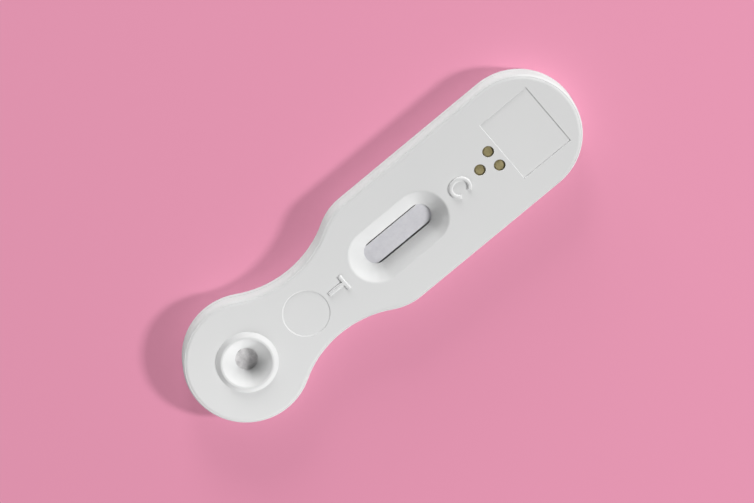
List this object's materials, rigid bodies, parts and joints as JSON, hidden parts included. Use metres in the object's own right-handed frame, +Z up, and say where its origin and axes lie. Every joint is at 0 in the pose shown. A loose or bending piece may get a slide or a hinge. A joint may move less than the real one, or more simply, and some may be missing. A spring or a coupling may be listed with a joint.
{
  "type": "lateral flow cassette",
  "caption": "Paddle-shaped white plastic lateral flow test cassette with a funnel sample well, bevelled result window, vent holes and a layered test strip inside",
  "frame": {"origin": "under the middle of the cassette's length and width, on the surface it lies on", "axes": "+X from the round sample end to the wide end, +Y across the width, +Z up out of the face with the well and window"},
  "size_m": [0.08, 0.0214, 0.0054],
  "materials": {
    "shell_white": "satin moulded polystyrene",
    "card_white": "smooth vinyl card",
    "sample_pad_grey": "glass fibre felt",
    "conjugate_pad_rose": "dyed glass fibre felt",
    "membrane_lilac": "smooth microporous sheet",
    "absorbent_white": "cotton fibre pad",
    "desiccant_olive": "matt pressed sheet"
  },
  "bodies": {
    "root": {"upper_shell": "shell_white", "lower_shell": "shell_white", "backing_card": "card_white", "sample_pad": "sample_pad_grey", "conjugate_pad": "conjugate_pad_rose", "membrane": "membrane_lilac", "absorbent_pad": "absorbent_white", "desiccant_pad": "desiccant_olive"}
  },
  "joints": []
}
